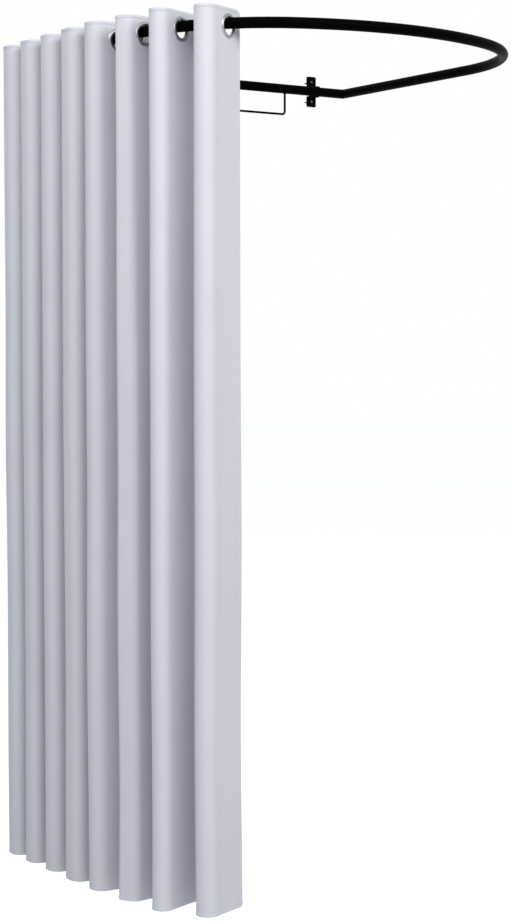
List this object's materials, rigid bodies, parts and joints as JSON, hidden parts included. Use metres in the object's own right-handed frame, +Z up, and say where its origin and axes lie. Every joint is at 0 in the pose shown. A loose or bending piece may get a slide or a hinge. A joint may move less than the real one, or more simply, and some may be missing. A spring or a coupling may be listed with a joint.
{
  "type": "wall-hung curtain changing room",
  "caption": "Wall-hung changing room: a D-shaped tube rail on saddles, with an eyelet curtain gathered at one side and a wire garment bail.",
  "frame": {"origin": "on the wall, midway along the wall bar and level with its centreline", "axes": "X to the right facing the wall, +Y into the wall, +Z up"},
  "size_m": [1.0641, 0.9922, 1.9974],
  "materials": {
    "black_coat": "satin black powder coat",
    "plain_steel": "plain zinc plate, hidden inside the tube",
    "dark_steel": "black oxide",
    "screw_steel": "dark zinc plate, dulled",
    "eyelet_chrome": "polished",
    "cloth": "matt, close woven, very pale cool grey"
  },
  "bodies": {
    "frame": {"wall_bar": "black_coat", "left_rail": "black_coat", "right_rail": "black_coat", "left_elbow": "plain_steel", "right_elbow": "plain_steel", "left_saddle": "black_coat", "right_saddle": "black_coat", "front_sleeve": "plain_steel", "garment_bail": "black_coat", "set_screw_1": "dark_steel", "set_screw_2": "dark_steel", "set_screw_3": "dark_steel", "set_screw_4": "dark_steel", "set_screw_5": "dark_steel", "set_screw_6": "dark_steel", "wall_screw_1": "screw_steel", "wall_screw_2": "screw_steel", "wall_screw_3": "screw_steel", "wall_screw_4": "screw_steel", "curtain_fold_5": "cloth", "eyelet_9": "eyelet_chrome", "eyelet_10": "eyelet_chrome", "curtain_loop_4": "cloth", "curtain_loop_5": "cloth"},
    "fold_4": {"curtain_fold_4": "cloth", "eyelet_7": "eyelet_chrome", "eyelet_8": "eyelet_chrome", "curtain_loop_3": "cloth"},
    "fold_3": {"curtain_fold_3": "cloth", "eyelet_5": "eyelet_chrome", "eyelet_6": "eyelet_chrome", "curtain_loop_2": "cloth"},
    "fold_2": {"curtain_fold_2": "cloth", "eyelet_3": "eyelet_chrome", "eyelet_4": "eyelet_chrome", "curtain_loop_1": "cloth"},
    "fold_1": {"curtain_fold_1": "cloth", "eyelet_1": "eyelet_chrome", "eyelet_2": "eyelet_chrome"},
    "fold_6": {"curtain_fold_6": "cloth", "eyelet_11": "eyelet_chrome", "eyelet_12": "eyelet_chrome", "curtain_loop_6": "cloth"},
    "fold_7": {"curtain_fold_7": "cloth", "eyelet_13": "eyelet_chrome", "eyelet_14": "eyelet_chrome", "curtain_loop_7": "cloth"},
    "fold_8": {"curtain_fold_8": "cloth", "eyelet_15": "eyelet_chrome", "eyelet_16": "eyelet_chrome"}
  },
  "joints": [
    {"name": "gather_4", "type": "slide", "parent": "frame", "child": "fold_4", "axis": [0, -1, 0], "range_m": [-0.0015, 0.014], "deforming": ["curtain_loop_4"]},
    {"name": "gather_3", "type": "slide", "parent": "fold_4", "child": "fold_3", "axis": [0, -1, 0], "range_m": [-0.0015, 0.014], "deforming": ["curtain_loop_3"]},
    {"name": "gather_2", "type": "slide", "parent": "fold_3", "child": "fold_2", "axis": [0, -1, 0], "range_m": [-0.0015, 0.014], "deforming": ["curtain_loop_2"]},
    {"name": "gather_1", "type": "slide", "parent": "fold_2", "child": "fold_1", "axis": [0, -1, 0], "range_m": [-0.0015, 0.014], "deforming": ["curtain_loop_1"]},
    {"name": "draw_6", "type": "hinge", "parent": "frame", "child": "fold_6", "pos_m": [-0.115, -0.5435, 0], "axis": [0, 0, 1], "range_deg": [-4, 8], "deforming": ["curtain_loop_5"]},
    {"name": "draw_7", "type": "hinge", "parent": "fold_6", "child": "fold_7", "pos_m": [-0.115, -0.5435, 0], "axis": [0, 0, 1], "range_deg": [-4, 8], "deforming": ["curtain_loop_6"]},
    {"name": "draw_8", "type": "hinge", "parent": "fold_7", "child": "fold_8", "pos_m": [-0.115, -0.5435, 0], "axis": [0, 0, 1], "range_deg": [-4, 8], "deforming": ["curtain_loop_7"]}
  ],
  "couplings": [
    {"joint": "gather_3", "follows": "gather_4", "ratio": 1},
    {"joint": "gather_2", "follows": "gather_4", "ratio": 1},
    {"joint": "gather_1", "follows": "gather_4", "ratio": 1},
    {"joint": "draw_7", "follows": "draw_6", "ratio": 1},
    {"joint": "draw_8", "follows": "draw_6", "ratio": 1}
  ]
}
